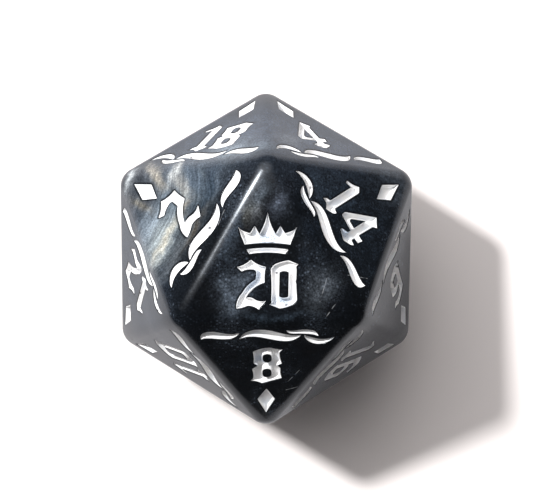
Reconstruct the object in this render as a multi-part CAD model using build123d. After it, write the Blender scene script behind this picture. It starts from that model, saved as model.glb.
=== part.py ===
"""A twenty-sided gaming die: a cast resin body with rounded edges, engraved on
every face, and the white enamel that lines each engraving as a thin film.

The origin is the centre of the die. Face 20 points up (+Z) and face 1 is the
face that it stands on. Opposite faces add up to 21.
"""
from build123d import *
import math
import os

# Driving dimensions, in millimetres
across_flats = 21.0         # from one face to the opposite one
edge_round = 1.5            # radius left on the edges and corners by tumbling
engraving_depth = 0.6       # straight-walled engravings, flat at the bottom
enamel_film = 0.08          # enamel on the walls and on the bottom of an engraving
enamel_recess = 0.04        # the enamel's rim stops this far under the face
ribbon_margin = 1.66        # from a face's sharp base edge to the ribbon's middle line
ribbon_end_margin = 0.29    # from the ribbon's ends to the rounded edges
ribbon_headroom = 0.70      # from the ribbon's middle line to the space for the number
diamond_margin = 1.82       # from a face's sharp corner to the diamond's outer tip
diamond_height = 2.7
diamond_width = 1.36
diamond_widest = 1.18       # from the diamond's inner tip up to its widest place
numeral_clearance = 0.57    # above and below a number
two_digit_drop = 0.40       # a wider number sits this much nearer to the base edge
digit_gap = 0.25            # between the two digits of a number
crest_digit_height = 3.6    # the number on face 20
crest_foot = 3.15           # from the middle of face 20 down to its number
crown_width = 5.0           # the crown over the number on face 20
crown_gap = 0.45            # between that number and the crown

# The regular icosahedron, with its edges still sharp
golden = (1 + math.sqrt(5)) / 2
inradius = across_flats / 2
edge = across_flats * math.sqrt(3) / golden**2
base_y = -edge / math.sqrt(12)
apex_y = edge / math.sqrt(3)
flat_inset = edge_round / golden**2     # from a sharp edge to where its rounding starts

# Where things lie on a face: y runs from the base edge to the opposite corner
ribbon_y = base_y + ribbon_margin
ribbon_length = 2 * ((apex_y - 2 * flat_inset - ribbon_y) / math.sqrt(3) - ribbon_end_margin)
diamond_tip = apex_y - diamond_margin
numeral_space = diamond_tip - diamond_height - ribbon_y - ribbon_headroom
digit_height = numeral_space - 2 * numeral_clearance

# Digits are drawn 40 units tall, standing on y = 0 around x = 0. A third value
# on a point bows the side that leaves it: outwards if positive, in units too.
digit_units = 40
digit_shapes = {
    "0": [
        [(4, 40), (12, 36.5, -1), (10.5, 33, -0.5), (11, 7), (8, 3.5, 0.5), (-3.5, 0),
         (-12, 3.5, -1), (-10.5, 7, -0.5), (-11, 33), (-8, 36.5, 0.5)],
        [(-3.6, 30, 1), (3.9, 30), (3.6, 10, 1), (-3.9, 10)],
    ],
    "1": [
        [(-0.5, 40, 0.3), (3.5, 37), (3.5, 8), (7, 7), (6, 4), (0, 0), (-3, 3, -0.4), (-8, 3),
         (-6.5, 6.5), (-3.5, 8), (-3.5, 32.5), (-5, 32), (-8.6, 30.6), (-9.4, 32.6, -0.7)],
    ],
    "2": [
        [(-0.5, 40.5, -1), (12, 34.5, -0.5), (11, 21.5, -2), (-4.5, 9, 1), (3, 7.5, -1),
         (12, 6.5), (6, -0.8, -0.8), (-3, 2.5, 0.6), (-12.5, 0, 1.5), (-7.5, 13, 1.2), (3.5, 24),
         (4, 30.5, -0.6), (0.5, 32.2, -0.8), (-8, 30.5), (-12, 34.3, -1)],
    ],
    "3": [
        [(-1, 40, -0.6), (12, 35.5, -0.6), (11, 24), (7.5, 20.5), (10.5, 18), (11, 6.5), (6.5, 2.5),
         (-2.5, 0, -0.6), (-12, 5), (-9, 8.5, -0.6), (-2, 6.5, 1), (3.8, 10.5), (3.8, 16.5, 0.6),
         (-4, 19), (-4, 22, 0.6), (3.8, 24.5), (3.8, 30, 1), (0.5, 32.5, -1), (-8, 31),
         (-12, 34, -0.8)],
    ],
    "4": [
        [(4, 40), (11, 35), (8.5, 32), (8, 15.5), (13, 15.5), (12.5, 10.5), (8, 10), (8, 7),
         (12, 6), (10.5, 3.5), (4.5, -0.5), (-3.5, 2.5), (-3.5, 4.5), (1.5, 7.5), (1.5, 10.5),
         (-12, 11), (-12.5, 15)],
        [(1.5, 28), (-5.5, 17), (-5, 14.8), (1.5, 14.8)],
    ],
    "5": [
        [(-10, 40, -1), (2, 37.5, -0.6), (11.5, 40), (9.5, 31.5, 0.6), (2, 30.5, -0.6), (-4, 32.5),
         (-4, 25, 0.5), (3, 26.5), (10.5, 22.5), (11, 6.5), (6.5, 2.5), (-2.5, 0, -0.6), (-12, 5),
         (-9, 8.5, -0.6), (-2, 6.5, 1), (3.8, 10.5), (3.8, 18.5), (-1, 20.5, -0.6), (-11, 18.5)],
    ],
    "6": [
        [(3, 40, -0.8), (12, 35.5), (8, 30.5, -0.8), (1, 33), (-3.6, 30), (-3.6, 24, 0.5), (3.5, 26),
         (10.5, 22), (11, 7), (8, 3.5, 0.5), (-3.5, 0), (-12, 3.5, -1), (-10.5, 7, -0.5), (-11, 33),
         (-8, 36, 0.5)],
        [(-3.6, 18.5, 1), (3.9, 18), (3.6, 10, 1), (-3.9, 10)],
    ],
    "7": [
        [(-10, 40, -1), (1, 36.5, -0.8), (12, 39.5), (10.5, 31), (3.5, 18), (3.8, 8.5), (7, 7.5),
         (6, 4.5), (0, 0), (-7.5, 3.5), (-6, 7), (-3.5, 8.5), (-3.5, 19), (4, 31, -0.8), (-5, 30),
         (-9, 32.5), (-12, 31)],
    ],
    "8": [
        [(4, 40, -0.6), (12.5, 37), (10.5, 34, -0.5), (11.5, 24), (7.5, 20.5), (10.5, 18, -0.5),
         (11, 5, 1), (-2, 0.5, -0.5), (-11.5, 2.5), (-9, 6, -0.5), (-11, 18), (-7.5, 20.5),
         (-10, 23, -0.5), (-11, 34)],
        [(-2.8, 31.5, 1.5), (3.2, 31.5, 0.4), (3.2, 25.5, 1.5), (-2.8, 25.5, 0.4)],
        [(-2.8, 15.2, 1.5), (3.2, 15.2, 0.4), (3.2, 9.4, 1.5), (-2.8, 9.4, 0.4)],
    ],
}
# A 4 keeps as much blank on its right as its arm reaches past its foot
right_blank = {"4": 3}
digit_shapes["9"] = [
    [(-x, digit_units - y, *bow) for x, y, *bow in outline] for outline in digit_shapes["6"]
]

# The ribbon is four brush strokes, drawn 100 units long around its middle. Each
# has a tip, three points on its upper side, the other tip, and three points on
# the lower side, with a smooth curve through each side from tip to tip.
ribbon_units = 100
ribbon_strokes = [
    [(-50, 1), (-42.7, 8.3), (-35.4, 9), (-29.7, 5.3), (-27.3, -0.9), (-32.4, 1.7), (-37.8, 3.4),
     (-43.6, 3.5)],
    [(-38, 0.7), (-29.5, -1.5), (-22, -1.7), (-16.4, -2.3), (-14, -5.6), (-20.1, -5.3), (-26.9, -6.5),
     (-33.3, -5.6)],
    [(-25.6, -0.9), (-15.1, 6.4), (-4.1, 4.9), (7.9, 1.8), (20.8, 4.2), (9.5, -5.8), (-2, -5.3),
     (-13.7, -1.3)],
    [(20.5, -2.6), (26.6, 3.8), (32.8, 4.6), (40.3, 3.8), (50, 4.9), (45.6, -3.2), (39.6, -3.8),
     (31.4, -1.9)],
]

# The crown over the number 20 is drawn 50 units wide, standing on y = 0
crown_units = 50
crown_shapes = [
    [(-17, 7, -0.8), (-25, 22, -1), (-13, 15.5), (-9.5, 21), (-6, 15, -0.8), (0, 31, -0.8),
     (6, 15), (9.5, 21), (13, 15.5, -1), (25, 22, -0.8), (17, 7, -1.2)],
    [(-15.5, 3.5, 1.2), (15.5, 3.5), (13.5, 0, -1.2), (-13.5, 0)],
]

# Corners of the die. The first three ring face 20, the next three lie around
# them one row lower, and the other six are opposite to these.
upper_corners = [(edge / math.sqrt(3), azimuth, inradius) for azimuth in (90, 210, 330)]
lower_ring_radius = golden * edge / math.sqrt(3)
circumradius = edge / 4 * math.sqrt(10 + 2 * math.sqrt(5))
lower_ring_z = math.sqrt(circumradius**2 - lower_ring_radius**2)
lower_corners = [(lower_ring_radius, azimuth, lower_ring_z) for azimuth in (270, 30, 150)]
corners = [
    Vector(radius * math.cos(math.radians(azimuth)), radius * math.sin(math.radians(azimuth)), z)
    for radius, azimuth, z in upper_corners + lower_corners
]
corners += [corner * -1 for corner in corners]

# Each number of the upper half with its face's corners: the two at the ends of
# its base edge, which the feet of the number stand towards, and then its apex.
face_corners = {
    20: (1, 2, 0), 2: (1, 0, 5), 14: (0, 2, 4), 8: (1, 2, 3), 18: (5, 0, 9), 4: (0, 4, 9),
    12: (5, 1, 10), 10: (1, 3, 10), 16: (3, 2, 11), 6: (2, 4, 11),
}
for number, numbered in list(face_corners.items()):
    face_corners[21 - number] = tuple((corner + 6) % 12 for corner in numbered)


def face_plane(number):
    """The plane of a numbered face: origin at its middle, y towards its apex."""
    base_a, base_b, apex = (corners[index] for index in face_corners[number])
    middle = (base_a + base_b + apex) / 3
    up = (apex - middle).normalized()
    return Plane(origin=middle, x_dir=up.cross(middle.normalized()), z_dir=middle)


def placed(drawn, scale, x, y):
    """Drawn points in millimetres, moved to x, y on a face."""
    return [(x + scale * px, y + scale * py, *(scale * bow for bow in bows)) for px, py, *bows in drawn]


def outline_wire(outline, film=0):
    """A closed wire whose sides are straight, or bow outwards by a point's third value.

    Points run clockwise. Each side moves inwards by a film, or outwards if negative.
    """
    moved = []
    for before, point, after in zip(outline[-1:] + outline[:-1], outline, outline[1:] + outline[:1]):
        arriving = Vector(point[1] - before[1], before[0] - point[0]).normalized()
        leaving = Vector(after[1] - point[1], point[0] - after[0]).normalized()
        corner = Vector(*point[:2]) + (arriving + leaving) * (film / (1 + arriving.dot(leaving)))
        moved.append((corner, *point[2:]))
    sides = []
    for (start, *bow), (end, *_) in zip(moved, moved[1:] + moved[:1]):
        sides.append(SagittaArc(start, end, bow[0]) if bow else Line(start, end))
    return Wire(sides)


def stroke_wire(outline, film=0):
    """A closed wire of two smooth curves, each from one tip over three points to the other.

    A film moves the middle of each side inwards, and each tip to where the moved sides meet.
    """
    sides = [Spline(*outline[:5]), Spline(*outline[4:], outline[0])]
    if film:
        points = []
        for side, other in zip(sides, sides[::-1]):
            ahead, back = side % 0, (other % 1) * -1
            middle = (ahead + back).normalized()
            points.append(side @ 0 + middle * (film / math.sin(math.radians(ahead.get_angle(back) / 2))))
            for share in (0.25, 0.5, 0.75):
                along = side % share
                points.append(side @ share + Vector(along.Y, -along.X) * film)
        sides = [Spline(*points[:5]), Spline(*points[4:], points[0])]
    return Wire(sides)


class Engraving:
    """A shape cut into a face: how its wires are made, its outline and its islands."""

    def __init__(self, wire, outline, islands=()):
        self.wire, self.outline, self.islands = wire, outline, islands

    def face(self, film=0):
        """The shape on the face, less a film of this thickness along all its walls."""
        islands = [self.wire(island, -film) for island in self.islands]
        return Face(self.wire(self.outline, film), islands)

    def prism(self, plane, bottom, top, film=0):
        """The shape as a solid between two depths under a face of the die."""
        return extrude(plane.offset(-bottom) * self.face(film), bottom - top, plane.z_dir)

    def enamel(self, plane):
        """The film that lines the shape: its whole space less the open space inside."""
        whole = self.prism(plane, engraving_depth, enamel_recess)
        return whole - self.prism(plane, engraving_depth - enamel_film, 0, enamel_film)


def number_engravings(number, height, y):
    """The digits of a number side by side, centred on x = 0, with their feet at y."""
    scale = height / digit_units
    digits = [digit_shapes[digit] for digit in str(number)]
    starts = [min(x for x, *_ in outline) * scale for outline, *_ in digits]
    widths = [max(x for x, *_ in outline) * scale - start for (outline, *_), start in zip(digits, starts)]
    blank = right_blank.get(str(number)[-1], 0) * scale
    left = -(sum(widths) + digit_gap * (len(digits) - 1) + blank) / 2
    engravings = []
    for digit, start, width in zip(digits, starts, widths):
        outline, *islands = [placed(drawn, scale, left - start, y) for drawn in digit]
        engravings.append(Engraving(outline_wire, outline, islands))
        left += width + digit_gap
    return engravings


def ribbon_engravings():
    """The four strokes of the ribbon along the base edge of a face."""
    scale = ribbon_length / ribbon_units
    return [Engraving(stroke_wire, placed(stroke, scale, 0, ribbon_y)) for stroke in ribbon_strokes]


def diamond_engravings():
    """The diamond in the corner over the number."""
    foot = diamond_tip - diamond_height
    side = diamond_width / 2
    waist = foot + diamond_widest
    return [Engraving(outline_wire, [(0, diamond_tip), (side, waist), (0, foot), (-side, waist)])]


def crown_engravings():
    """The crown on face 20, over its number."""
    scale = crown_width / crown_units
    foot = crest_digit_height + crown_gap - crest_foot
    return [Engraving(outline_wire, placed(shape, scale, 0, foot)) for shape in crown_shapes]


def rounded_icosahedron():
    """A smaller icosahedron grown by the rounding radius, so its edges come out round."""
    shrink = 1 - edge_round / inradius
    faces = []
    for numbered in face_corners.values():
        faces.append(Face(Wire.make_polygon([corners[i] * shrink for i in numbered], close=True)))
    return offset(Solid(Shell(faces)), amount=edge_round, kind=Kind.ARC)


# What is engraved on each face
engraved = {}
for number in face_corners:
    if number == 20:
        engraved["numeral_20_paint"] = (number, number_engravings(20, crest_digit_height, -crest_foot))
        engraved["crown_20_paint"] = (number, crown_engravings())
        continue
    foot = ribbon_y + ribbon_headroom + numeral_clearance
    if number > 9:
        foot -= two_digit_drop
    engraved[f"numeral_{number:02d}_paint"] = (number, number_engravings(number, digit_height, foot))
    engraved[f"ribbon_{number:02d}_paint"] = (number, ribbon_engravings())
    engraved[f"diamond_{number:02d}_paint"] = (number, diamond_engravings())

# The body is cut by every engraving, and the enamel in each one is a piece of its own
body = rounded_icosahedron()
paint = {}
for name, (number, engravings) in engraved.items():
    plane = face_plane(number)
    body -= [engraving.prism(plane, engraving_depth, -edge_round) for engraving in engravings]
    paint[name] = Compound([engraving.enamel(plane).solid() for engraving in engravings])

os.makedirs("parts", exist_ok=True)
export_step(body.solid(), "parts/die_body.step")
for name, film in paint.items():
    export_step(film, f"parts/{name}.step")
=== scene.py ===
import math

import bpy
import numpy as np
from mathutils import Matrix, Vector
from mathutils.geometry import delaunay_2d_cdt


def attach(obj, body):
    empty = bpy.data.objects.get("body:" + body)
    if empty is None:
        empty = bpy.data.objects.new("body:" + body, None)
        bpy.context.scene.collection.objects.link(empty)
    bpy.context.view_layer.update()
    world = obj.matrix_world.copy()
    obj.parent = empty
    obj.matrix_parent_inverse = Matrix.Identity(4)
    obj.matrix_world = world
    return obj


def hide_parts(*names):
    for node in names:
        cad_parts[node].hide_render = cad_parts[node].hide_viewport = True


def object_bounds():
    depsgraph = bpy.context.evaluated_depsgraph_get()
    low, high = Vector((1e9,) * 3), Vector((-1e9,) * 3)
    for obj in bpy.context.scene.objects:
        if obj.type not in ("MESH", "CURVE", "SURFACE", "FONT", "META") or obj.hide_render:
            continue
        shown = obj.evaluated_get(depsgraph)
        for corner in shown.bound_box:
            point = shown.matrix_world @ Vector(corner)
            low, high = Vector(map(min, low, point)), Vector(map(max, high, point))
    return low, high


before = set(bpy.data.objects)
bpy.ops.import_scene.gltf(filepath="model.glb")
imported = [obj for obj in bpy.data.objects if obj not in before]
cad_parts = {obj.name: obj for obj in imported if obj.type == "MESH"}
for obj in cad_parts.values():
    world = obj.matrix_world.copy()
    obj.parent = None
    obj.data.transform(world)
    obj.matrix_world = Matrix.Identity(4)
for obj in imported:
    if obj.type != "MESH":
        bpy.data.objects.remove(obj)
solid_low, solid_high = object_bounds()


# The layout of the die.
# A twenty-sided die is an icosahedron: twelve corners, twenty equal triangles, and the numbers on
# opposite faces add up to 21. Face 20 looks straight up and the top of its number points along +Y.
golden = (1 + math.sqrt(5)) / 2
half_height = -solid_low[2]
edge_length = half_height * 2 * math.sqrt(3) / golden**2
upper_radius = edge_length / math.sqrt(3)
lower_radius = golden * upper_radius
lower_height = math.sqrt(upper_radius**2 + half_height**2 - lower_radius**2)


def corner_ring(radius, height, azimuths):
    """Three points on a level circle: radius times the cosine and sine of each azimuth, at one height."""
    turn = np.radians(azimuths)
    return np.stack([radius * np.cos(turn), radius * np.sin(turn), np.full(3, height)], axis=1)


upper_corners = corner_ring(upper_radius, half_height, [90, 210, 330])
lower_corners = corner_ring(lower_radius, lower_height, [270, 30, 150])
corners = np.concatenate([upper_corners, lower_corners])
corners = np.concatenate([corners, -corners])

# Each number with its face's corners: the two at the foot of the number, and the one over it.
face_corners = {
    20: (1, 2, 0), 2: (1, 0, 5), 14: (0, 2, 4), 8: (1, 2, 3), 18: (5, 0, 9), 4: (0, 4, 9),
    12: (5, 1, 10), 10: (1, 3, 10), 16: (3, 2, 11), 6: (2, 4, 11),
}
face_corners.update({21 - n: tuple((c + 6) % 12 for c in held) for n, held in face_corners.items()})


def unit(vectors):
    """Each vector divided by its own length."""
    return vectors / np.linalg.norm(vectors, axis=-1, keepdims=True)


def face_axes(number):
    """A face's own axes as rows: x to the right, y from its middle to its apex, z straight out of it."""
    held = corners[list(face_corners[number])]
    out = unit(held.mean(axis=0))
    up = unit(held[2] - held.mean(axis=0))
    return np.stack([np.cross(up, out), up, out])


# The engravings.
# Numbers, ribbons and diamonds are cut into the mould's faces, so the casting comes out with
# steep-sided pockets 0.6 mm deep. Their mouths are softened a little when the die is tumbled.
engraving_depth = 0.0006
outline_step = 0.00009
mouth_round = 0.00004
# How far out from each pocket the resin is painted dark, as painted shade round the mouth.
shaded_brim = 0.00017
sharp_turn = 0.7
floor_tolerance = 0.000004
weld_step = 0.0000002


def foot_outlines(node, number):
    """The outlines round the foot of a pocket, as points in the face's plane and each point's next one.

    The film lies on the pocket's floor, so its lowest triangles cover that floor. A side that only one
    of them has is on the outline, and it runs with the floor on its left.
    """
    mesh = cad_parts[node].data
    mesh.calc_loop_triangles()
    points = np.empty(len(mesh.vertices) * 3)
    mesh.vertices.foreach_get("co", points)
    triangles = np.empty(len(mesh.loop_triangles) * 3, dtype=np.int32)
    mesh.loop_triangles.foreach_get("vertices", triangles)
    local = points.reshape(-1, 3) @ face_axes(number).T
    triangles = triangles.reshape(-1, 3)
    low = np.abs(local[:, 2] - (half_height - engraving_depth)) < floor_tolerance
    triangles = triangles[low[triangles].all(axis=1)]
    flat, welded = np.unique(np.round(local[:, :2] / weld_step), axis=0, return_inverse=True)
    flat = flat * weld_step
    triangles = welded.reshape(-1)[triangles]
    a, b, c = (flat[triangles[:, k]] for k in range(3))
    turned = (b[:, 0] - a[:, 0]) * (c[:, 1] - a[:, 1]) < (b[:, 1] - a[:, 1]) * (c[:, 0] - a[:, 0])
    triangles[turned] = triangles[turned][:, ::-1]
    sides = np.concatenate([triangles[:, [0, 1]], triangles[:, [1, 2]], triangles[:, [2, 0]]])
    key = sides[:, 0].astype(np.int64) * len(flat) + sides[:, 1]
    mirrored = sides[:, 1].astype(np.int64) * len(flat) + sides[:, 0]
    sides = sides[~np.isin(key, mirrored)]
    used = np.unique(sides)
    place = np.zeros(len(flat), dtype=np.int64)
    place[used] = np.arange(len(used))
    following = np.empty(len(used), dtype=np.int64)
    following[place[sides[:, 0]]] = place[sides[:, 1]]
    return flat[used], following


def even_outlines(points, following):
    """The same outlines with every side cut into equal parts no longer than outline_step."""
    step = points[following] - points
    parts = np.maximum(np.ceil(np.linalg.norm(step, axis=1) / outline_step), 1).astype(np.int64)
    first = np.cumsum(parts) - parts
    side = np.repeat(np.arange(len(points)), parts)
    share = (np.arange(parts.sum()) - first[side]) / parts[side]
    after = np.arange(parts.sum()) + 1
    last = after == (first + parts)[side]
    after[last] = first[following[side[last]]]
    return points[side] + step[side] * share[:, None], after


def previous(following):
    """The point before each point, from the point after each point."""
    before = np.empty_like(following)
    before[following] = np.arange(len(following))
    return before


def soft_outlines(points, following):
    """The outlines relaxed three times: each point moves towards the middle of its two neighbours.

    It moves half of the way, and less where the outline turns sharply, so that tips stay pointed: the
    half is divided by one plus the square of the turn over sharp_turn.
    """
    before = previous(following)
    ahead = unit(points[following] - points)
    behind = unit(points - points[before])
    turn = np.arccos(np.clip((ahead * behind).sum(axis=1), -1, 1))
    give = 0.5 / (1 + (turn / sharp_turn) ** 2)
    for _ in range(3):
        middle = (points[before] + points[following]) / 2
        points = points + (middle - points) * give[:, None]
    return points


def left_of(points, following):
    """The direction to the left of travel at each point, halfway between its two sides'."""
    before = previous(following)
    along = unit(points[following] - points) + unit(points - points[before])
    along = unit(along)
    return np.stack([-along[:, 1], along[:, 0]], axis=1)


def room_beside(points, sideways):
    """The radius of the largest circle that touches the outline at each point, on one side of it.

    A circle that touches point p, has its centre along the unit direction s and passes through point q
    has the radius |q - p| squared over twice (q - p).s, and the smallest over all q is the room.
    """
    reach = points[None, :, :] - points[:, None, :]
    ahead = (reach * sideways[:, None, :]).sum(axis=2)
    radius = (reach**2).sum(axis=2) / (2 * np.where(ahead > 1e-9, ahead, np.inf))
    radius[ahead <= 1e-9] = np.inf
    return radius.min(axis=1)


engravings = {}
for node in sorted(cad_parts):
    if node.endswith("_paint"):
        number = int(node.split("_")[1])
        outline, following = even_outlines(*foot_outlines(node, number))
        engravings[node] = (number, soft_outlines(outline, following), following)


# The cast body.
# One solid casting of black pearl resin. The mould leaves flat faces, and tumbling rounds all
# thirty edges to a cylinder of 1.5 mm radius and the twelve corners to part of a ball.
edge_round = 0.0015
edge_lengths = 24
edge_turns = 12
cap_rings = 10
same_place = 0.00000001

core = corners * (half_height - edge_round) / half_height


def between(start, end, share):
    """Unit vectors on the great circle from one unit vector to another, at shares of the way."""
    angle = np.arccos(np.clip((start * end).sum(axis=-1, keepdims=True), -1, 1))
    angle = np.maximum(angle, 1e-9)
    return (np.sin((1 - share) * angle) * start + np.sin(share * angle) * end) / np.sin(angle)


def grid_faces(rows, columns):
    """The quads of a grid of points that is numbered row by row."""
    corner = np.arange(rows - 1)[:, None] * columns + np.arange(columns - 1)[None, :]
    corner = corner.reshape(-1)
    return np.stack([corner, corner + 1, corner + columns + 1, corner + columns], axis=1)


def facing_out(points, normals, faces):
    """The faces of one sheet, all turned over if together they look against their normals."""
    along = points[faces[:, 1]] - points[faces[:, 0]]
    across = points[faces[:, 2]] - points[faces[:, 0]]
    out = (np.cross(along, across) * normals[faces].sum(axis=1)).sum()
    return faces[:, ::-1] if out < 0 else faces


def filled(points, sides):
    """Triangles over the part of the plane that lies to the left of the sides.

    Of the points' constrained triangulation, the triangles with a side on their left are kept first.
    Then every triangle is kept that shares an edge with a kept one, unless that edge is a side.
    """
    _, _, triangles, sources, _, _ = delaunay_2d_cdt(
        (points * 1000).tolist(), sides.tolist(), [], 0, 1e-7, True
    )
    source = np.array([found[0] for found in sources])
    triangles = source[np.array([list(triangle) for triangle in triangles])].astype(np.int64)
    onward = np.roll(triangles, -1, axis=1)
    edges = triangles * len(points) + onward
    mirrored = onward * len(points) + triangles
    forward = sides[:, 0] * len(points) + sides[:, 1]
    backward = sides[:, 1] * len(points) + sides[:, 0]
    kept = np.isin(edges, forward).any(axis=1)
    inner = ~np.isin(edges, forward) & ~np.isin(edges, backward)
    grown = True
    while grown:
        doors = mirrored[kept][inner[kept]]
        reached = kept | (np.isin(edges, doors) & inner).any(axis=1)
        grown = (reached != kept).any()
        kept = reached
    return triangles[kept]


def onto_face(flat, depth, number):
    """Points of a face's own plane, lowered by a depth, as points of the die."""
    level = np.broadcast_to(half_height - depth, len(flat))
    return np.concatenate([flat, level[:, None]], axis=1) @ face_axes(number)


def lifted(sideways, out, number):
    """Directions made of a share of a direction in the face's plane and a share straight out of it."""
    level = np.broadcast_to(out, len(sideways))
    return unit(np.concatenate([sideways, level[:, None]], axis=1)) @ face_axes(number)


def closed_mesh(name, patches):
    """One mesh from patches, with points at one place welded. A patch has points, their normals, a list
    of face arrays and, where it isn't zero, each point's share of the painted shade round the pocket mouths."""
    points = np.concatenate([patch[0] for patch in patches])
    normals = np.concatenate([patch[1] for patch in patches])
    starts = np.cumsum([0] + [len(patch[0]) for patch in patches])
    _, first, welded = np.unique(
        np.round(points / same_place), axis=0, return_index=True, return_inverse=True
    )
    welded = welded.reshape(-1)
    loops = []
    sizes = []
    for start, (place, direction, face_sets, *_) in zip(starts, patches):
        for faces in face_sets:
            faces = welded[facing_out(place, direction, faces) + start]
            loops.append(faces.reshape(-1))
            sizes.append(np.full(len(faces), faces.shape[1]))
    loops = np.concatenate(loops)
    sizes = np.concatenate(sizes)
    mesh = bpy.data.meshes.new(name)
    mesh.vertices.add(len(first))
    mesh.vertices.foreach_set("co", points[first].astype(np.float32).reshape(-1))
    mesh.loops.add(len(loops))
    mesh.loops.foreach_set("vertex_index", loops.astype(np.int32))
    mesh.polygons.add(len(sizes))
    mesh.polygons.foreach_set("loop_start", (np.cumsum(sizes) - sizes).astype(np.int32))
    mesh.update(calc_edges=True)
    mesh.polygons.foreach_set("use_smooth", np.ones(len(sizes), dtype=bool))
    mesh.normals_split_custom_set_from_vertices(unit(normals[first]).tolist())
    # Each point's share of the painted shade round the pocket mouths.
    mouth_shades = np.concatenate([patch[3] if len(patch) > 3 else np.zeros(len(patch[0])) for patch in patches])
    layer = mesh.attributes.new("mouth_shade", "FLOAT", "POINT")
    layer.data.foreach_set("value", mouth_shades[first].astype(np.float32))
    mesh.validate()
    piece = bpy.data.objects.new(name, mesh)
    bpy.context.scene.collection.objects.link(piece)
    return piece


def edge_strip(a, b, face, neighbour):
    """A rounded edge: along it, points of the core's edge; across it, edge_round out along directions
    that turn from one face's outward direction to the other's."""
    along = np.linspace(0, 1, edge_lengths + 1)[:, None, None]
    across = np.linspace(0, 1, edge_turns + 1)[None, :, None]
    line = core[a] + (core[b] - core[a]) * along
    out = between(face_axes(face)[2], face_axes(neighbour)[2], across)
    out = np.broadcast_to(out, (edge_lengths + 1, edge_turns + 1, 3)).reshape(-1, 3)
    points = np.broadcast_to(line, (edge_lengths + 1, edge_turns + 1, 3)).reshape(-1, 3)
    return points + out * edge_round, out, [grid_faces(edge_lengths + 1, edge_turns + 1)]


def corner_cap(corner):
    """A rounded corner: a ball of radius edge_round about the core's corner. Round it, directions follow
    the arcs between its five faces' outward directions, and inwards they close on the corner's own."""
    middle = unit(corners[corner])
    around = [number for number, held in face_corners.items() if corner in held]
    outs = np.array([face_axes(number)[2] for number in around])
    aside = unit(np.cross(middle, outs[0]))
    angle = np.arctan2(outs @ aside, outs @ np.cross(aside, middle))
    outs = outs[np.argsort(angle)]
    turn = np.tile(np.linspace(0, 1, edge_turns + 1)[:-1], 5)[:, None]
    start = np.repeat(outs, edge_turns, axis=0)
    end = np.repeat(np.roll(outs, -1, axis=0), edge_turns, axis=0)
    rim = between(start, end, turn)
    rim = np.concatenate([rim, rim[:1]])
    inwards = np.linspace(0, 1, cap_rings + 1)[:-1, None, None]
    out = between(np.broadcast_to(rim, (cap_rings, *rim.shape)), middle, inwards)
    columns = len(rim)
    out = np.concatenate([out.reshape(-1, 3), middle[None, :]])
    last = (cap_rings - 1) * columns + np.arange(columns - 1)
    fan = np.stack([last, last + 1, np.full(columns - 1, len(out) - 1)], axis=1)
    return core[corner] + out * edge_round, out, [grid_faces(cap_rings, columns), fan]


def face_rim(number):
    """The border of a flat, in its own plane: along each side, evenly spaced points of the core's edge."""
    held = core[list(face_corners[number])] @ face_axes(number).T
    share = np.linspace(0, 1, edge_lengths + 1)[:-1, None]
    sides = [held[k, :2] + (held[(k + 1) % 3, :2] - held[k, :2]) * share for k in (0, 1, 2)]
    return np.concatenate(sides)


def joined(outlines):
    """Several outlines as one array of points and one of next points."""
    starts = np.cumsum([0] + [len(points) for points, _ in outlines])
    points = np.concatenate([points for points, _ in outlines])
    following = np.concatenate([after + start for (_, after), start in zip(outlines, starts)])
    return points, following


def ring_faces(following, rings):
    """Quads between each ring of points and the one after it, where all rings have the same points."""
    count = len(following)
    here = np.arange(count)
    quads = [
        np.stack([here, following, following + count, here + count], axis=1) + ring * count
        for ring in range(rings - 1)
    ]
    return np.concatenate(quads)


def kept_on_flat(points, number):
    """Outlines with the points near a flat's border drawn in, so that none is within flat_margin of it.

    Distances from the border up to drawn_in are scaled evenly, from the nearest point's to the margin.
    """
    border = face_rim(number)
    for way in unit(border[::edge_lengths]):
        off = points @ way + np.linalg.norm(border[0]) / 2
        if off.min() < flat_margin:
            share = (off - off.min()) / (drawn_in - off.min())
            moved = np.where(off < drawn_in, flat_margin + share * (drawn_in - flat_margin), off)
            points = points + (moved - off)[:, None] * way
    return points


# The outer tips of the crown would run on to the rounded edges, so they are drawn in to the flat.
flat_margin = 0.00010
drawn_in = 0.0006
for node, (number, points, following) in engravings.items():
    engravings[node] = (number, kept_on_flat(points, number), following)


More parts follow.
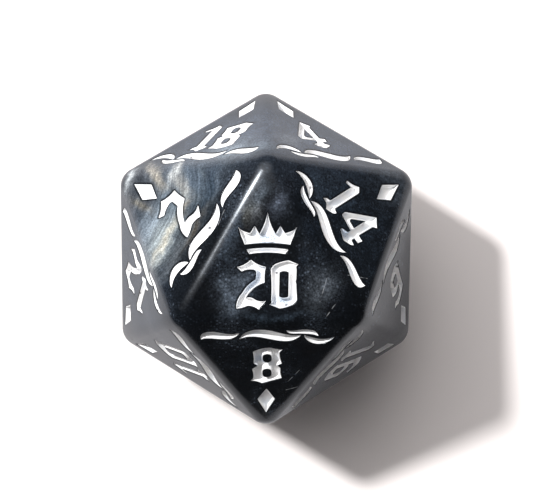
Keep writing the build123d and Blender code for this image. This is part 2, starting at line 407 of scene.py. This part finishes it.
def engraved_face(number):
    """A flat with its pockets: each outline is carried over a narrow brim, round a quarter circle at the
    mouth, straight down the wall and over the floor. The painted shade on the resin is 0 on the brim's
    outside and 1 inwards. Brim and mouth stay within half of the room that is left to the next pocket
    and to the border."""
    own = [(points, after) for held, points, after in engravings.values() if held == number]
    pockets, following = joined(own)
    inwards = left_of(pockets, following)
    border = face_rim(number)
    towards_corners = unit(border[::edge_lengths])
    margin = (pockets @ towards_corners.T).min(axis=1) + np.linalg.norm(border[0]) / 2
    room = np.minimum(room_beside(pockets, -inwards), margin)
    reach = np.minimum(mouth_round, 0.40 * room)[:, None]
    brim = pockets - inwards * np.minimum(mouth_round + shaded_brim, 0.48 * room)[:, None]
    out = face_axes(number)[2]
    rings = [onto_face(brim, 0.0, number)]
    normals = [np.tile(out, (len(brim), 1))]
    for turn in (0, math.pi / 4, math.pi / 2):
        moved = pockets - inwards * reach * (1 - math.sin(turn))
        rings.append(onto_face(moved, reach[:, 0] * (1 - math.cos(turn)), number))
        normals.append(lifted(inwards * math.sin(turn), math.cos(turn), number))
    rings.append(onto_face(pockets, engraving_depth, number))
    normals.append(lifted(inwards, 0.0, number))
    # Painted shade round the mouth: 0 on the brim's outer edge, 1 from the mouth inwards.
    mouth_shade = np.repeat([0.0] + [1.0] * (len(rings) - 1), len(pockets))
    walls = (np.concatenate(rings), np.concatenate(normals), [ring_faces(following, len(rings))], mouth_shade)
    top = np.concatenate([brim, border])
    pocket_sides = np.stack([np.arange(len(following)), following], axis=1)
    rim_points = np.arange(len(brim), len(top))
    rim_sides = np.stack([rim_points, np.roll(rim_points, -1)], axis=1)
    # While triangles are sought, the border's straight sides bulge by two thousandths of a millimetre,
    # so that each of its points counts as a corner.
    bulging = border * (1 - 16.0 * (border**2).sum(axis=1, keepdims=True))
    sides = np.concatenate([pocket_sides[:, ::-1], rim_sides])
    top_faces = filled(np.concatenate([brim, bulging]), sides)
    flat = (onto_face(top, 0.0, number), np.tile(out, (len(top), 1)), [top_faces])
    floor_faces = filled(pockets, pocket_sides)
    foot = onto_face(pockets, engraving_depth, number)
    floor = (foot, np.tile(out, (len(foot), 1)), [floor_faces], np.ones(len(foot)))
    return [flat, walls, floor]


body_patches = []
for number, held in face_corners.items():
    body_patches += engraved_face(number)
    for a, b in ((held[0], held[1]), (held[1], held[2]), (held[2], held[0])):
        neighbour = next(n for n, other in face_corners.items() if {a, b} <= set(other) and n != number)
        if number < neighbour:
            body_patches.append(edge_strip(a, b, number, neighbour))
for corner in range(12):
    body_patches.append(corner_cap(corner))

# Tumbling also crowns the flats and edges a little towards the corners. That is too little to see
# in their shape, but it moves what they mirror: each direction leans out by a share that grows
# with the square of the way from the middle of a flat to a corner.
crowning = 30.0
corner_distance = np.linalg.norm(core[0]) + edge_round


def crowned(points, normals):
    """The outward directions, each with a part of its point's own direction added."""
    way = (np.linalg.norm(points, axis=1, keepdims=True) - half_height) / (corner_distance - half_height)
    return normals + crowning * points * np.clip(way, 0, 1) ** 2


body_patches = [(patch[0], crowned(patch[0], patch[1]), *patch[2:]) for patch in body_patches]
body = closed_mesh("cast_body", body_patches)

# The body's resin is black, with mica in it: a fine grain everywhere, some larger flakes, and pearl
# that the pour has drawn out into drifts. All of it is placed in millimetres on the piece itself.


def add(tree, kind, inputs=None, **settings):
    """A new node. Its settings are set, and each named input is linked to a socket or set to a value."""
    made = tree.nodes.new(kind)
    for name, value in settings.items():
        setattr(made, name, value)
    for name, value in (inputs or {}).items():
        if isinstance(value, bpy.types.NodeSocket):
            tree.links.new(value, made.inputs[name])
        else:
            made.inputs[name].default_value = value
    return made


def computed(tree, operation, *values, clamp=False):
    """What a maths node makes of its values. MULTIPLY_ADD is the first times the second, plus the third."""
    made = add(tree, "ShaderNodeMath", dict(enumerate(values)), operation=operation, use_clamp=clamp)
    return made.outputs[0]


def directed(tree, operation, *vectors, scale=None):
    """What a vector maths node makes of its vectors: a number for a dot product or length, else a vector."""
    inputs = dict(enumerate(vectors))
    if scale is not None:
        inputs["Scale"] = scale
    made = add(tree, "ShaderNodeVectorMath", inputs, operation=operation)
    return made.outputs["Value" if operation in ("DOT_PRODUCT", "LENGTH") else "Vector"]


def noise(tree, place, scale, detail, roughness=0.5):
    """The value of a noise texture at a place."""
    inputs = {"Vector": place, "Scale": scale, "Detail": detail, "Roughness": roughness}
    return add(tree, "ShaderNodeTexNoise", inputs).outputs["Fac"]


def ramp(tree, value, low, high, start=0.0, end=1.0, smooth=False):
    """A value that goes from start to end while another goes from low to high, and stays there beyond."""
    inputs = {"Value": value, "From Min": low, "From Max": high, "To Min": start, "To Max": end}
    course = "SMOOTHSTEP" if smooth else "LINEAR"
    return add(tree, "ShaderNodeMapRange", inputs, interpolation_type=course).outputs[0]


def mixed(tree, share, under, over):
    """One colour with a share of it covered by another."""
    return add(tree, "ShaderNodeMix", {0: share, 6: under, 7: over}, data_type="RGBA").outputs[2]


def bumped(tree, height, distance, **settings):
    """A bump node for a height that runs from 0 to 1, where 1 stands a distance in metres out."""
    inputs = {"Height": height, "Strength": 1.0, "Distance": distance}
    return add(tree, "ShaderNodeBump", inputs, **settings)


def new_effect(name, takes, gives):
    """An empty node group with named inputs and outputs, and its input and output nodes."""
    tree = bpy.data.node_groups.new(name, "ShaderNodeTree")
    for socket, kind in takes:
        tree.interface.new_socket(name=socket, in_out="INPUT", socket_type="NodeSocket" + kind)
    for socket, kind in gives:
        tree.interface.new_socket(name=socket, in_out="OUTPUT", socket_type="NodeSocket" + kind)
    return tree, tree.nodes.new("NodeGroupInput"), tree.nodes.new("NodeGroupOutput")


# Millimetres on the piece: object coordinates times a thousand.
millimetres, taken, given = new_effect("Millimetres", [], [("Place", "Vector")])
spot = add(millimetres, "ShaderNodeTexCoord").outputs["Object"]
millimetres.links.new(directed(millimetres, "SCALE", spot, scale=1000.0), given.inputs["Place"])

# A patch with soft ends: exp(-(u*u + v*v + w*w)), where u, v and w are the distances from its centre
# along it, across it and out of the face, each over its own reach.
patch, taken, given = new_effect(
    "Soft patch",
    [(socket, "Vector") for socket in ("Place", "Centre", "Along", "Across", "Out")],
    [("Cover", "Float")],
)
apart = directed(patch, "SUBTRACT", taken.outputs["Place"], taken.outputs["Centre"])
squares = 0.0
for axis in ("Along", "Across", "Out"):
    part = directed(patch, "DOT_PRODUCT", apart, taken.outputs[axis])
    squares = computed(patch, "MULTIPLY_ADD", part, part, squares)
squares = computed(patch, "MULTIPLY", squares, -1.0)
patch.links.new(computed(patch, "EXPONENT", squares), given.inputs["Cover"])

# Flecks: in cells of one size, the share of cells whose random value is highest hold a round fleck.
flecks, taken, given = new_effect(
    "Flecks", [("Place", "Vector"), ("Per mm", "Float"), ("Share", "Float")], [("Fleck", "Float")]
)
cells = add(
    flecks, "ShaderNodeTexVoronoi", {"Vector": taken.outputs["Place"], "Scale": taken.outputs["Per mm"]}
)
chance = add(flecks, "ShaderNodeSeparateColor", {"Color": cells.outputs["Color"]}).outputs[0]
limit = computed(flecks, "SUBTRACT", 1.0, taken.outputs["Share"])
chosen = computed(flecks, "GREATER_THAN", chance, limit)
round_off = ramp(flecks, cells.outputs["Distance"], 0.15, 0.55, 1.0, 0.0, smooth=True)
flecks.links.new(computed(flecks, "MULTIPLY", chosen, round_off), given.inputs["Fleck"])

# A hairline scratch: one within Width of the straight line between two points, and broken up by noise.
hairline, taken, given = new_effect(
    "Hairline",
    [("Place", "Vector"), ("From", "Vector"), ("To", "Vector"), ("Width", "Float")],
    [("Scratch", "Float")],
)
span = directed(hairline, "SUBTRACT", taken.outputs["To"], taken.outputs["From"])
lead = directed(hairline, "SUBTRACT", taken.outputs["Place"], taken.outputs["From"])
along = directed(hairline, "DOT_PRODUCT", lead, span)
whole = directed(hairline, "DOT_PRODUCT", span, span)
way = computed(hairline, "DIVIDE", along, whole, clamp=True)
foot = directed(hairline, "SCALE", span, scale=way)
away = directed(hairline, "LENGTH", directed(hairline, "SUBTRACT", lead, foot))
line = ramp(hairline, away, 0.0, taken.outputs["Width"], 1.0, 0.0, smooth=True)
breaks = ramp(hairline, noise(hairline, taken.outputs["Place"], 2.3, 3.0), 0.38, 0.58)
hairline.links.new(computed(hairline, "MULTIPLY", line, breaks), given.inputs["Scratch"])


def use(tree, effect, **inputs):
    """What a node group gives in a material, with underscores in the input names standing for spaces."""
    made = tree.nodes.new("ShaderNodeGroup")
    made.node_tree = effect
    for name, value in inputs.items():
        socket = made.inputs[name.replace("_", " ")]
        if isinstance(value, bpy.types.NodeSocket):
            tree.links.new(value, socket)
        else:
            socket.default_value = value
    return made.outputs[0]


def on_face(number, x, y):
    """A point in millimetres, given in a face's own axes."""
    return (np.array([x, y, half_height * 1000]) @ face_axes(number)).tolist()


patch_depth = 1.6


def patch_on_face(tree, place, number, x, y, lean, length, breadth):
    """A soft patch centred on a face's point, its long side leaning anticlockwise from the face's x."""
    axes = face_axes(number)
    turn = math.radians(lean)
    along = axes[0] * math.cos(turn) + axes[1] * math.sin(turn)
    across = axes[1] * math.cos(turn) - axes[0] * math.sin(turn)
    return use(
        tree, patch, Place=place, Centre=on_face(number, x, y), Along=(along / length).tolist(),
        Across=(across / breadth).tolist(), Out=(axes[2] / patch_depth).tolist(),
    )


resin = bpy.data.materials.new("black_pearl_resin")
resin.use_nodes = True
tree = resin.node_tree
resin_shader = tree.nodes["Principled BSDF"]
resin_shader.inputs["IOR"].default_value = 1.40
resin_shader.inputs["Specular Tint"].default_value = (0.88, 0.93, 1.0, 1)

# The stirred place is the place pushed aside by noise, by up to 1.2 mm along each axis.
place = use(tree, millimetres)
stir = add(tree, "ShaderNodeTexNoise", {"Vector": place, "Scale": 0.42, "Detail": 4.0, "Roughness": 0.55})
stir = directed(tree, "SUBTRACT", stir.outputs["Color"], (0.5, 0.5, 0.5))
stir = directed(tree, "SCALE", stir, scale=2.4)
stirred = directed(tree, "ADD", place, stir)

# The mica in the resin: a fine grain everywhere, thicker in the clouds, with a few larger flakes.
grain = ramp(tree, noise(tree, place, 6.5, 2.0, 0.8), 0.38, 0.66, 0.10, 2.3)
flakes = use(tree, flecks, Place=place, Per_mm=4.6, Share=0.20)
cloud = ramp(tree, noise(tree, stirred, 0.21, 3.0), 0.47, 0.74, smooth=True)
thick = computed(tree, "MULTIPLY_ADD", cloud, 0.020, 0.0018)
spread = computed(tree, "MULTIPLY_ADD", flakes, 6.0, grain)
thick = computed(tree, "MULTIPLY", thick, spread)
mica = directed(tree, "SCALE", (0.80, 1.0, 1.30), scale=thick)
black = directed(tree, "ADD", mica, (0.0006, 0.0008, 0.0012))

# Flow lines: the pour ran across face 2 and bent upwards on its right, so the drifts are combed
# along curves where y - 0.09 * (x + 1.5)^2 stays the same, in that face's own axes.
eased = directed(tree, "ADD", place, directed(tree, "SCALE", stir, scale=0.30))
run_x, run_y, run_z = (directed(tree, "DOT_PRODUCT", eased, axis.tolist()) for axis in face_axes(2))
bend = computed(tree, "ADD", run_x, 1.5)
bend = computed(tree, "MULTIPLY", bend, bend)
bend = computed(tree, "MULTIPLY_ADD", bend, -0.09, run_y)
run = add(tree, "ShaderNodeCombineXYZ", {0: run_x, 1: bend, 2: run_z}).outputs[0]
combed = add(tree, "ShaderNodeMapping", {"Vector": run, "Scale": (0.22, 5.5, 0.9)}).outputs[0]
threads = ramp(tree, noise(tree, combed, 1.0, 3.0, 0.75), 0.36, 0.68, 0.62, 1.24)
combed = add(
    tree, "ShaderNodeMapping", {"Vector": run, "Scale": (0.16, 1.25, 0.5), "Location": (3.1, 0.4, 0.0)}
).outputs[0]
bands = ramp(tree, noise(tree, combed, 1.0, 2.0), 0.36, 0.64, 0.68, 1.24)
flow = computed(tree, "MULTIPLY", threads, bands)
fine = computed(tree, "MULTIPLY_ADD", grain, 0.30, 0.66)
fine = computed(tree, "MULTIPLY_ADD", flakes, 0.35, fine)
silky = computed(tree, "MULTIPLY", flow, fine)

# Elsewhere the drifts are loose, mottled by the same grain and by a coarser unevenness. On the
# three faces beside face 2 they are more even.
mottle = ramp(tree, noise(tree, stirred, 1.1, 3.0, 0.6), 0.34, 0.66, 0.45, 1.45)
coarse = computed(tree, "MULTIPLY_ADD", grain, 0.42, 0.50)
coarse = computed(tree, "MULTIPLY_ADD", flakes, 0.9, coarse)
loose = computed(tree, "MULTIPLY", mottle, coarse)
gentle = computed(tree, "MULTIPLY_ADD", mottle, 0.40, 0.60)
gentle = computed(tree, "MULTIPLY", gentle, fine)
lustres = {2: silky, 18: gentle, 4: gentle, 12: gentle}

# Drifts of pearl that the pour has drawn out, and one painted highlight: face, centre, lean, length and
# breadth in millimetres, colour, and how far the drift covers the black.
drifts_and_highlight = [
    (2, 0.2, 2.5, 0, 4.6, 2.9, (0.140, 0.180, 0.222), 0.92),
    (2, -2.6, 2.5, 8, 2.0, 1.1, (0.25, 0.30, 0.35), 0.85),
    (2, -2.9, 1.1, -4, 1.9, 1.0, (0.44, 0.50, 0.52), 0.95),
    (2, -2.3, 0.55, -4, 1.6, 0.33, (0.62, 0.60, 0.51), 0.90),
    (2, -3.2, -0.8, -8, 1.8, 0.45, (0.12, 0.135, 0.150), 0.85),
    (2, 0.0, 5.2, 0, 1.7, 1.9, (0.150, 0.160, 0.175), 0.88),
    (2, 0.0, 5.0, 90, 1.75, 0.95, (0.016, 0.020, 0.026), 0.85),
    # A painted highlight: this pale patch just under face 2's apex stands for the shine of the rounded
    # corner.
    (2, 0.0, 6.9, 0, 0.7, 0.40, (0.58, 0.62, 0.64), 0.90),
    (2, 1.6, 4.9, 76, 1.7, 0.42, (0.50, 0.46, 0.38), 0.88),
    (2, -1.15, 4.5, 98, 1.3, 0.32, (0.22, 0.20, 0.155), 0.75),
    (2, 1.9, 2.1, 62, 1.4, 0.45, (0.34, 0.335, 0.31), 0.85),
    (2, 2.4, 3.1, 40, 0.75, 0.40, (0.82, 0.85, 0.84), 0.95),
    (2, 0.7, 0.4, 35, 0.7, 0.3, (0.17, 0.145, 0.11), 0.75),
    (2, -0.3, -1.3, 0, 1.5, 0.28, (0.12, 0.105, 0.085), 0.70),
    (2, 2.5, 1.0, 60, 1.1, 0.7, (0.085, 0.112, 0.145), 0.88),
    (2, 3.4, 0.7, 75, 0.5, 0.25, (0.13, 0.16, 0.185), 0.75),
    (2, 3.7, 0.2, 50, 0.9, 0.55, (0.006, 0.008, 0.012), 0.85),
    (2, 2.7, -0.5, 12, 1.9, 0.6, (0.030, 0.046, 0.066), 0.80),
    (2, 3.2, -0.9, 15, 1.4, 0.25, (0.075, 0.095, 0.120), 0.70),
    (18, 0.0, 0.0, 0, 6.0, 4.5, (0.058, 0.075, 0.104), 0.90),
    (18, 2.8, -2.0, 0, 2.4, 1.3, (0.240, 0.290, 0.335), 0.85),
    (18, -2.4, 1.6, 50, 2.6, 1.4, (0.030, 0.039, 0.054), 0.75),
    (4, 0.0, 0.0, 0, 6.0, 4.5, (0.054, 0.070, 0.100), 0.90),
    (4, 1.8, 1.2, -40, 2.6, 1.4, (0.028, 0.037, 0.052), 0.75),
    (4, -2.6, -0.4, 30, 1.6, 0.7, (0.105, 0.120, 0.140), 0.75),
    (12, 0.0, 0.0, 0, 6.0, 4.5, (0.034, 0.046, 0.068), 0.85),
    (12, -1.5, 0.5, 60, 2.6, 1.3, (0.018, 0.025, 0.036), 0.75),
    (20, -2.4, -2.1, 60, 1.5, 1.0, (0.086, 0.106, 0.134), 0.88),
    (20, 4.0, -1.8, 60, 1.4, 1.0, (0.086, 0.099, 0.116), 0.88),
    (20, -3.0, 0.5, 60, 1.4, 0.7, (0.007, 0.010, 0.014), 0.88),
    (20, 2.9, 0.5, 60, 1.3, 0.8, (0.0035, 0.0055, 0.0085), 0.88),
    (20, 3.3, 2.6, 60, 1.2, 0.6, (0.007, 0.010, 0.015), 0.80),
    (20, -0.7, 3.9, 85, 0.9, 0.5, (0.068, 0.072, 0.078), 0.80),
    (20, -1.2, 4.4, 85, 1.2, 0.4, (0.082, 0.080, 0.066), 0.75),
    (20, -0.9, 5.4, 85, 1.3, 0.6, (0.070, 0.086, 0.106), 0.78),
    (20, 0.9, 4.9, 80, 1.2, 0.6, (0.052, 0.062, 0.082), 0.78),
    (20, -2.6, 2.8, 62, 2.2, 0.5, (0.046, 0.060, 0.080), 0.70),
    (20, 0.6, -2.7, 0, 2.6, 0.8, (0.0030, 0.0042, 0.0060), 0.88),
    (20, 0.0, -3.7, 0, 3.2, 0.3, (0.020, 0.028, 0.038), 0.70),
    (20, -5.0, -3.0, 30, 1.5, 1.1, (0.0012, 0.0016, 0.0024), 0.90),
    (20, 5.0, -3.0, -30, 1.5, 1.1, (0.0012, 0.0016, 0.0024), 0.90),
    (14, 0.0, 0.8, 0, 5.5, 3.6, (0.0115, 0.0165, 0.0240), 0.85),
    (14, -2.5, -0.5, 30, 2.0, 1.0, (0.020, 0.029, 0.042), 0.75),
    (14, 0.0, 5.8, 0, 1.8, 1.3, (0.050, 0.062, 0.078), 0.80),
    (8, 0.0, 0.5, 0, 6.0, 3.4, (0.0022, 0.0034, 0.0052), 0.85),
    (5, 1.5, 1.0, 25, 3.2, 1.6, (0.090, 0.110, 0.130), 0.85),
    (5, 2.2, 1.6, 30, 1.8, 0.5, (0.30, 0.34, 0.36), 0.85),
    (13, -1.8, -0.5, -30, 3.0, 1.4, (0.080, 0.095, 0.115), 0.80),
    (3, 0.5, 0.8, 50, 3.4, 1.8, (0.100, 0.115, 0.130), 0.85),
    (3, 1.0, 1.8, 60, 1.8, 0.5, (0.36, 0.39, 0.40), 0.85),
    (17, -2.0, 0.5, 70, 2.6, 1.0, (0.120, 0.115, 0.095), 0.75),
    (11, 1.0, -0.5, -20, 3.0, 1.5, (0.090, 0.110, 0.135), 0.80),
    (9, -1.0, 1.5, 15, 2.8, 1.2, (0.130, 0.150, 0.165), 0.80),
    (15, -1.5, 1.0, 40, 2.6, 1.3, (0.070, 0.085, 0.105), 0.80),
    (7, 0.5, 0.5, -45, 3.2, 1.5, (0.080, 0.100, 0.120), 0.80),
    (19, 0.8, 1.0, 10, 3.0, 1.4, (0.120, 0.130, 0.135), 0.80),
    (1, 0.0, 0.5, -10, 3.6, 1.8, (0.090, 0.105, 0.120), 0.80),
]
colour = black
for face, x, y, lean, length, breadth, tint, cover in drifts_and_highlight:
    shade = patch_on_face(tree, stirred, face, x, y, lean, length, breadth)
    share = computed(tree, "MULTIPLY", shade, cover, clamp=True)
    # For most drifts this is the pearl's colour; for the patch under face 2's apex it is a painted
    # highlight.
    pearl = directed(tree, "SCALE", tint, scale=lustres.get(face, loose))
    colour = mixed(tree, share, colour, pearl)

# Painted shade: the resin is painted dark in a fine line round every pocket, for the shade that falls at the
# pocket's mouth.
mouth_shade = add(tree, "ShaderNodeAttribute", attribute_type="GEOMETRY", attribute_name="mouth_shade").outputs["Fac"]
mouth_shade = ramp(tree, mouth_shade, 0.10, 0.80, 0.0, 0.85, smooth=True)
colour = mixed(tree, mouth_shade, colour, (0.004, 0.005, 0.007, 1))

# Hairline scratches from the cup: they show pale, and stand a little rough.
scratches = [
    ((20, 5.1, -2.7), (20, 3.7, -4.7)),
    ((20, 4.4, -0.9), (20, 3.9, -2.6)),
    ((8, -3.4, 2.9), (8, -1.5, 3.6)),
    ((8, -2.6, 1.2), (8, -1.6, 2.7)),
    ((14, 3.6, -2.9), (14, 4.6, -1.4)),
    ((2, 0.8, -3.1), (2, 2.0, -2.9)),
]
marks = 0.0
for start, end in scratches:
    mark = use(tree, hairline, Place=place, From=on_face(*start), To=on_face(*end), Width=0.055)
    marks = computed(tree, "MAXIMUM", marks, mark)
faint = computed(tree, "MULTIPLY", marks, 0.60)
colour = mixed(tree, faint, colour, (0.30, 0.31, 0.32, 1))
tree.links.new(colour, resin_shader.inputs["Base Color"])

# The surface: smudges in the gloss, a slow waviness of the cast faces and a fine orange peel.
smudge = ramp(tree, noise(tree, stirred, 0.8, 4.0, 0.65), 0.35, 0.70, 0.15, 0.22)
smudge = computed(tree, "MULTIPLY_ADD", grain, 0.018, smudge)
smudge = computed(tree, "MULTIPLY_ADD", marks, 0.3, smudge)
tree.links.new(smudge, resin_shader.inputs["Roughness"])
wave = bumped(tree, noise(tree, place, 0.22, 1.0), 0.00005)
peel = bumped(tree, noise(tree, place, 4.5, 2.0), 0.0000016)
nicks = bumped(tree, marks, 0.000004, invert=True)
tree.links.new(wave.outputs[0], peel.inputs["Normal"])
tree.links.new(peel.outputs[0], nicks.inputs["Normal"])
tree.links.new(nicks.outputs[0], resin_shader.inputs["Normal"])
body.data.materials.append(resin)

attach(body, "root")
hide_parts("die_body")


# The enamel.
# White enamel is wiped into every pocket. It lines the floor and the walls, lies a little lower
# than the face, and gathers in the corner between wall and floor.
film_thickness = 0.00008
film_recess = 0.00004
film_gather = 0.00010

# The cross-section's points, from under the film up the wall, over the lip and down to the floor: how
# far each lies in from the outline and down from the face, and how far its normal leans in and up.
floor_level = engraving_depth - film_thickness
fillet_turns = np.radians([0, 22, 45, 68, 90])
film_insets = np.concatenate([
    [0.000002, 0.000002, 0.000020, 0.000060, film_thickness],
    film_thickness + film_gather * (1 - np.cos(fillet_turns)),
])
film_depths = np.concatenate([
    [engraving_depth - 0.000002, 0.000060, film_recess, film_recess + 0.000004, film_recess + 0.000030],
    floor_level - film_gather * (1 - np.sin(fillet_turns)),
])
film_leans = np.concatenate([[-1.0, -1.0, -0.4, 0.5, 1.0], np.cos(fillet_turns)])
film_lifts = np.concatenate([
    [-1.0, 0.0, 1.0, 1.0, 0.6],
    np.sin(fillet_turns) + 0.5 * np.cos(fillet_turns),
])


def enamel_film(node):
    """The film in a pocket: its cross-section, from the underside up the outer wall, over the lip, down
    the inner wall and round a quarter circle to the floor, is carried along the outlines. Where the
    pocket is narrow, every inset shrinks with the room that is left at that point."""
    number, pockets, following = engravings[node]
    inwards = left_of(pockets, following)
    room = room_beside(pockets, inwards)
    share = np.minimum(1.0, 0.85 * room / film_insets[-1])[:, None]
    rings = [
        onto_face(pockets + inwards * share * inset, depth, number)
        for inset, depth in zip(film_insets, film_depths)
    ]
    normals = [lifted(inwards * lean, lift, number) for lean, lift in zip(film_leans, film_lifts)]
    sleeve = (np.concatenate(rings), np.concatenate(normals), [ring_faces(following, len(rings))])
    out = face_axes(number)[2]
    faces = filled(pockets, np.stack([np.arange(len(following)), following], axis=1))
    underside = (rings[0], np.tile(-out, (len(pockets), 1)), [faces])
    floor = (rings[-1], np.tile(out, (len(pockets), 1)), [faces])
    return closed_mesh("enamel_" + node.removesuffix("_paint"), [sleeve, underside, floor])


enamel = bpy.data.materials.new("white_enamel")
enamel.use_nodes = True
tree = enamel.node_tree
enamel_shader = tree.nodes["Principled BSDF"]
enamel_shader.inputs["IOR"].default_value = 1.45
enamel_shader.inputs["Specular IOR Level"].default_value = 0.35
place = use(tree, millimetres)

# Thick enamel is a plain warm white. It has settled unevenly, so it is a touch cooler where it lies thin.
pooled = ramp(tree, noise(tree, place, 0.9, 3.0, 0.6), 0.42, 0.70, smooth=True)
tone = mixed(tree, pooled, (0.925, 0.920, 0.915, 1), (0.84, 0.865, 0.90, 1))

# On face 20 the wiping has left it thin in the middle of the crown and the number, and the black
# resin shows through there as a peppering of fine specks. Faces 8 and 14 have one such spot each.
thin_spots = [
    (20, 0.0, 2.0, 0, 1.0, 0.5),
    (20, -1.0, -1.0, 50, 1.0, 0.4),
    (20, 1.1, -2.6, 0, 0.8, 0.4),
    (8, 0.3, 0.6, 30, 0.5, 0.3),
    (14, 0.9, -0.8, 40, 0.6, 0.3),
]
thin = 0.0
for face, x, y, lean, length, breadth in thin_spots:
    thin = computed(tree, "MAXIMUM", thin, patch_on_face(tree, place, face, x, y, lean, length, breadth))
tone = mixed(tree, thin, tone, (0.48, 0.56, 0.67, 1))
pepper = use(tree, flecks, Place=place, Per_mm=9.0, Share=0.5)
pepper = computed(tree, "MULTIPLY", pepper, thin)
pepper = computed(tree, "MULTIPLY", pepper, 0.9)
tone = mixed(tree, pepper, tone, (0.10, 0.12, 0.15, 1))

# Here and there a speck of dirt has stuck in it.
dirt = use(tree, flecks, Place=place, Per_mm=2.8, Share=0.016)
tone = mixed(tree, dirt, tone, (0.12, 0.12, 0.13, 1))
tree.links.new(tone, enamel_shader.inputs["Base Color"])

# It is glossier where it lies thick, and slightly uneven from the brush.
gloss = ramp(tree, pooled, 0.0, 1.0, 0.42, 0.60)
tree.links.new(gloss, enamel_shader.inputs["Roughness"])
brushed = bumped(tree, noise(tree, place, 3.5, 3.0, 0.6), 0.000012)
tree.links.new(brushed.outputs[0], enamel_shader.inputs["Normal"])

for node in engravings:
    film = enamel_film(node)
    film.data.materials.append(enamel)
    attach(film, "root")
    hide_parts(node)


# The table.
# A matt white sheet that the die stands on. It takes the die's shadow, and it is what the steep
# faces of the resin mirror. Glossy rays see it painted a darker grey, a painted shade on what the resin
# mirrors.
table_reach = 0.07
table_rows = 9
table_steps = np.linspace(-table_reach, table_reach, table_rows)
table_x, table_y = np.meshgrid(table_steps, table_steps)
table_points = np.stack([table_x, table_y, np.full_like(table_x, solid_low[2])], axis=-1).reshape(-1, 3)
table_mesh = bpy.data.meshes.new("table")
table_mesh.from_pydata(table_points.tolist(), [], grid_faces(table_rows, table_rows).tolist())
table = bpy.data.objects.new("table", table_mesh)
bpy.context.scene.collection.objects.link(table)

paper = bpy.data.materials.new("white_table")
paper.use_nodes = True
tree = paper.node_tree
paper_shader = tree.nodes["Principled BSDF"]
paper_shader.inputs["Roughness"].default_value = 0.9
paper_shader.inputs["Specular IOR Level"].default_value = 0.0
# Painted shade in the reflection: glossy rays see the table a darker, cooler grey than its own warm white.
mirrored_ray = add(tree, "ShaderNodeLightPath").outputs["Is Glossy Ray"]
paper_tone_and_reflection_shade = mixed(tree, mirrored_ray, (0.96, 0.905, 0.885, 1), (0.68, 0.67, 0.69, 1))
tree.links.new(paper_tone_and_reflection_shade, paper_shader.inputs["Base Color"])
table.data.materials.append(paper)


# The light.
# A round lamp up to the left behind the die throws a crisp shadow. The room is dim, so that the
# level faces of the resin stay black, apart from a pale patch of ceiling behind the die.
lamp_place = Vector((-0.3729, 0.2824, 0.600))
lamp_data = bpy.data.lights.new("key_lamp", "AREA")
lamp_data.shape = "DISK"
lamp_data.size = 0.074
lamp_data.energy = 7.2
lamp = bpy.data.objects.new("key_lamp", lamp_data)
lamp.location = lamp_place
lamp.rotation_euler = lamp_place.to_track_quat("Z", "Y").to_euler()
bpy.context.scene.collection.objects.link(lamp)

room = bpy.data.worlds.new("dim_room")
room.use_nodes = True
bpy.context.scene.world = room
tree = room.node_tree
ceiling_way = Vector((-0.22, 0.60, 0.77)).normalized()
room_way = add(tree, "ShaderNodeTexCoord").outputs["Generated"]
room_turn = directed(tree, "DOT_PRODUCT", room_way, ceiling_way)
room_share = ramp(tree, room_turn, 0.77, 1.0, smooth=True)
room_tone = mixed(tree, room_share, (0.085, 0.083, 0.085, 1), (2.9, 2.85, 2.85, 1))
room_light = tree.nodes["Background"]
tree.links.new(room_tone, room_light.inputs["Color"])

# The camera itself sees plain white behind the table.
room_seen = add(tree, "ShaderNodeBackground", {"Color": (1, 1, 1, 1)})
camera_ray = add(tree, "ShaderNodeLightPath").outputs["Is Camera Ray"]
room_mix = add(
    tree, "ShaderNodeMixShader", {0: camera_ray, 1: room_light.outputs[0], 2: room_seen.outputs[0]}
)
tree.links.new(room_mix.outputs[0], tree.nodes["World Output"].inputs["Surface"])


# The camera.
# It looks almost straight down on face 20, from 25 cm away through a long lens. Its turn away from
# straight down is one rotation, given as its axis times its angle in radians.
camera_data = bpy.data.cameras.new("camera")
camera_data.lens = 223.65
camera_data.sensor_width = 36
camera_data.clip_start = 0.01
camera = bpy.data.objects.new("camera", camera_data)
camera.location = (-0.002804, 0.015481, 0.255047)
camera.rotation_mode = "AXIS_ANGLE"
camera_turn = np.array([-0.0571, -0.0111, 0.0020])
camera_angle = float(np.linalg.norm(camera_turn))
camera.rotation_axis_angle = (camera_angle, *(camera_turn / camera_angle).tolist())
bpy.context.scene.collection.objects.link(camera)
bpy.context.scene.camera = camera

bpy.context.scene.view_settings.view_transform = "Standard"

bpy.context.view_layer.update()
